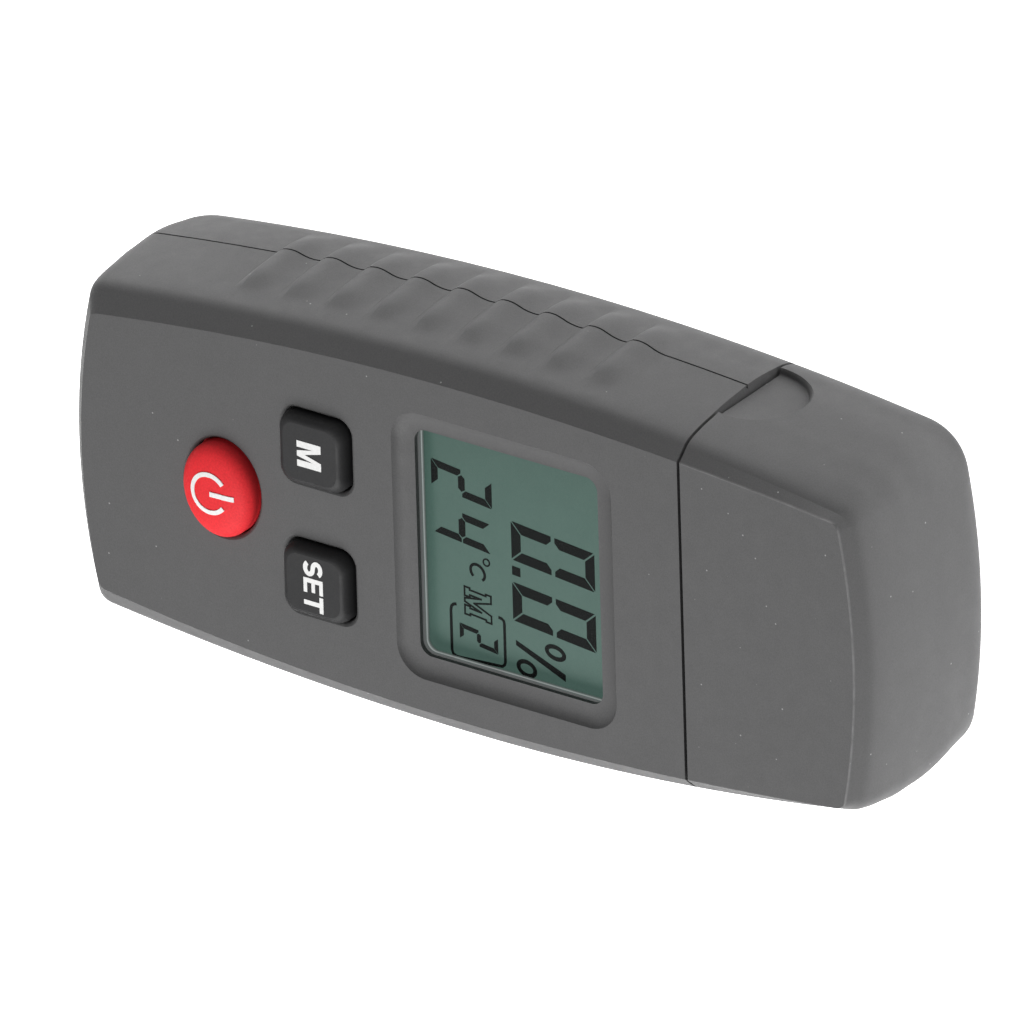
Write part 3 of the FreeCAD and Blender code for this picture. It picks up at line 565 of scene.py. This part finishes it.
def seven(cx, cy, w, h, t, on, slant=0.10, gap=0.055, split=0.0):
    """Seven-segment figure with hairline mitred joints; segments a..g."""
    x0, x1 = -w / 2, w / 2
    y0, ym, y1 = -h / 2, 0.0, h / 2
    g = gap * t * 2
    k = g + split
    S = {
        "a": [(x0 + g, y1), (x1 - g, y1), (x1 - t - g, y1 - t), (x0 + t + g, y1 - t)],
        "b": [(x1, y1 - g), (x1, ym + k), (x1 - t * 0.5, ym + k), (x1 - t, ym + t * 0.5 + k), (x1 - t, y1 - t - g)],
        "c": [(x1, ym - k), (x1, y0 + g), (x1 - t, y0 + t + g), (x1 - t, ym - t * 0.5 - k), (x1 - t * 0.5, ym - k)],
        "d": [(x0 + g, y0), (x0 + t + g, y0 + t), (x1 - t - g, y0 + t), (x1 - g, y0)],
        "e": [(x0, ym - k), (x0 + t * 0.5, ym - k), (x0 + t, ym - t * 0.5 - k), (x0 + t, y0 + t + g), (x0, y0 + g)],
        "f": [(x0, y1 - g), (x0 + t, y1 - t - g), (x0 + t, ym + t * 0.5 + k), (x0 + t * 0.5, ym + k), (x0, ym + k)],
        "g": [(x0 + t * 0.62 + g, ym), (x0 + t + g, ym + t * 0.5), (x1 - t - g, ym + t * 0.5), (x1 - t * 0.62 - g, ym),
              (x1 - t - g, ym - t * 0.5), (x0 + t + g, ym - t * 0.5)],
    }
    out = []
    for c in on:
        out.append([(cx + x + slant * y, cy + y) for x, y in S[c]])
    return out


def ringpoly(cx, cy, rx, ry, t, n=28, slant=0.0):
    q = []
    for i in range(n):
        a0, a1 = 2 * math.pi * i / n, 2 * math.pi * (i + 1) / n
        P = [(math.cos(a) * rx, math.sin(a) * ry) for a in (a0, a1)]
        Q = [(math.cos(a) * (rx - t), math.sin(a) * (ry - t)) for a in (a1, a0)]
        q.append([(cx + x + slant * y, cy + y) for x, y in P + Q])
    return q


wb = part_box("window_pane")
WC = ((wb[0][0] + wb[1][0]) / 2 * 1000, (wb[0][1] + wb[1][1]) / 2 * 1000)

LCD_MARKS = []


def add(shapes):
    LCD_MARKS.extend([[((WC[0] + x) * MM, (WC[1] + y) * MM) for x, y in s] for s in shapes])


# upper row: 0.0 %
add(seven(-1.93, 5.47, 5.75, 13.5, 1.5, "abcdef", split=0.15))
add(seven(7.15, 5.43, 5.75, 13.5, 1.5, "abcdef", split=0.15))
add([[(1.2, -1.28), (2.5, -1.28), (2.6, 0.05), (1.3, 0.05)]])
add([[(12.25, -0.97), (12.98, -0.97), (16.36, 7.0), (15.34, 7.0)]])
add(ringpoly(12.46, 5.44, 1.17, 1.72, 0.62, slant=0.10))
add(ringpoly(16.08, 0.68, 1.3, 1.67, 0.62, slant=0.10))
# lower row: temperature, unit, material group
add(seven(-8.93, -9.2, 3.98, 9.8, 1.05, "abged", slant=0.12))
add(seven(-2.3, -9.3, 4.42, 9.2, 1.05, "fgbc", slant=0.12))
add(ringpoly(1.89, -5.48, 0.62, 0.62, 0.22, 20))


def arc2(cx, cy, rx, ry, a0, a1, n, slant=0.0):
    out = []
    for i in range(n):
        a = math.radians(a0 + (a1 - a0) * i / (n - 1))
        out.append((cx + rx * math.cos(a) + slant * ry * math.sin(a), cy + ry * math.sin(a)))
    return out


add([stroke_poly(arc2(3.75, -6.95, 1.12, 1.15, 40, 320, 22, 0.2), 0.40)])


def outlined_M(x0, y0, x1, y1, t, line):
    """Serifed M drawn as a hollow outline."""
    w, h = x1 - x0, y1 - y0
    s = 0.22 * w
    pts = [(0, 0), (s * 1.5, 0), (s * 1.5, t), (s * 1.15, t), (s * 1.15, h * 0.62), (w * 0.42, 0), (w * 0.55, 0),
           (w - s * 1.2, h * 0.62), (w - s * 1.2, t), (w - s * 1.5, t), (w - s * 1.5, 0), (w, 0), (w, t),
           (w - s * 0.3, t), (w - s * 0.3, h - t), (w, h - t), (w, h), (w - s * 1.25, h), (w * 0.5, h * 0.36),
           (s * 1.25, h), (0, h), (0, h - t), (s * 0.3, h - t), (s * 0.3, t), (0, t)]
    path = [(x0 + x + 0.10 * (y - h / 2), y0 + y) for x, y in pts]
    out = []
    n = len(path)
    for i in range(n):
        a, b = path[i], path[(i + 1) % n]
        dx, dy = b[0] - a[0], b[1] - a[1]
        d = math.hypot(dx, dy)
        ux, uy = dx / d * line * 0.5, dy / d * line * 0.5
        nx, ny = -uy, ux
        out.append([(a[0] - ux + nx, a[1] - uy + ny), (b[0] + ux + nx, b[1] + uy + ny),
                    (b[0] + ux - nx, b[1] + uy - ny), (a[0] - ux - nx, a[1] - uy - ny)])
    return out


M_OUT = outlined_M(6.6, -9.2, 10.7, -4.9, 0.85, 0.25)
add([stroke_poly([(9.59, -3.75), (9.66, -3.25), (9.95, -2.88), (10.4, -2.81), (16.0, -2.81), (16.5, -2.95), (16.82, -3.3),
                  (16.88, -3.9), (17.28, -10.0), (17.28, -10.8), (17.0, -11.35), (16.5, -11.52), (10.5, -11.52),
                  (9.9, -11.4), (9.55, -11.05), (9.43, -10.6)], 0.42)])
add(seven(13.65, -7.05, 2.35, 6.2, 0.62, "abged", slant=0.13))
polys("display_figures", LCD_MARKS, SEG0, SEG1, M_SEG, "case")
# the hollow letter's strokes cross, so each is at its own tiny height
bmarks = [[((WC[0] + x) * MM, (WC[1] + y) * MM) for x, y in q] for q in M_OUT]
bm = bmesh.new()
for k, pts in enumerate(bmarks):
    zt = SEG1 + 0.0000006 * (k % 5)
    up = [bm.verts.new((x, y, zt)) for x, y in pts]
    dn = [bm.verts.new((x, y, SEG0)) for x, y in pts]
    bm.faces.new(up)
    bm.faces.new(list(reversed(dn)))
    for i in range(4):
        bm.faces.new((up[i], dn[i], dn[(i + 1) % 4], up[(i + 1) % 4]))
finish_mesh("display_letter", bm, M_SEG, "case")

# ----------------------------------------------------------- camera and set
cam_data = bpy.data.cameras.new("camera")
cam = bpy.data.objects.new("camera", cam_data)
scene.collection.objects.link(cam)
r1 = Vector((0.0259, 0.8193, -0.5727)).normalized()
fwd = Vector((0.4491, -0.5214, -0.7256)).normalized()
down = fwd.cross(r1).normalized()
r1 = down.cross(fwd).normalized()
target = Vector((-0.007087, 0.006163, 0.02578))
DIST = 5.5
cam.matrix_world = Matrix((
    (r1.x, -down.x, -fwd.x, 0), (r1.y, -down.y, -fwd.y, 0), (r1.z, -down.z, -fwd.z, 0), (0, 0, 0, 1)))
cam.location = target - fwd * DIST
cam_data.sensor_width = 36.0
cam_data.lens = 7510.0 * 36.0 * DIST / 1024.0
cam_data.clip_start = 0.01
cam_data.clip_end = 40.0
scene.camera = cam

# floor: matt white table, lit from below like a product table
me = bpy.data.meshes.new("floor")
S = 6.0
me.from_pydata([(-S, -S, 0), (S, -S, 0), (S, S, 0), (-S, S, 0)], [], [(0, 1, 2, 3)])
floor = bpy.data.objects.new("floor", me)
scene.collection.objects.link(floor)
floor.location.z = -0.00002
mf, nt, b = new_mat("floor_pale", (0.86, 0.86, 0.86), 0.9, spec=0.1)
v = coords(nt)
nt.links.new(ramp(nt, noise(nt, v, 30.0), [(0.3, (0.855, 0.855, 0.855)), (0.7, (0.875, 0.875, 0.875))]), b.inputs["Base Color"])
b.inputs["Emission Color"].default_value = (1, 1, 1, 1)
b.inputs["Emission Strength"].default_value = 1.45
me.materials.append(mf)

world = bpy.data.worlds.new("studio")
scene.world = world
world.use_nodes = True
bg = world.node_tree.nodes["Background"]
bg.inputs["Color"].default_value = (1, 1, 1, 1)
bg.inputs["Strength"].default_value = 0.25


def area(name, loc, size, power, at=(0, 0, 0.01), color=(1, 1, 1)):
    l = bpy.data.lights.new(name, "AREA")
    l.shape = "RECTANGLE"
    l.size, l.size_y = size
    l.energy = power
    l.color = color
    o = bpy.data.objects.new(name, l)
    scene.collection.objects.link(o)
    o.location = loc
    o.rotation_euler = (Vector(at) - Vector(loc)).to_track_quat("-Z", "Y").to_euler()
    return o


area("key_light", (0.66, -0.08, 0.74), (0.75, 0.75), 11.0)
area("fill_light", (0.05, 1.05, 0.30), (0.7, 0.4), 0.18)

scene.view_settings.view_transform = "Standard"
scene.view_settings.look = "None"
scene.view_settings.exposure = 0.0
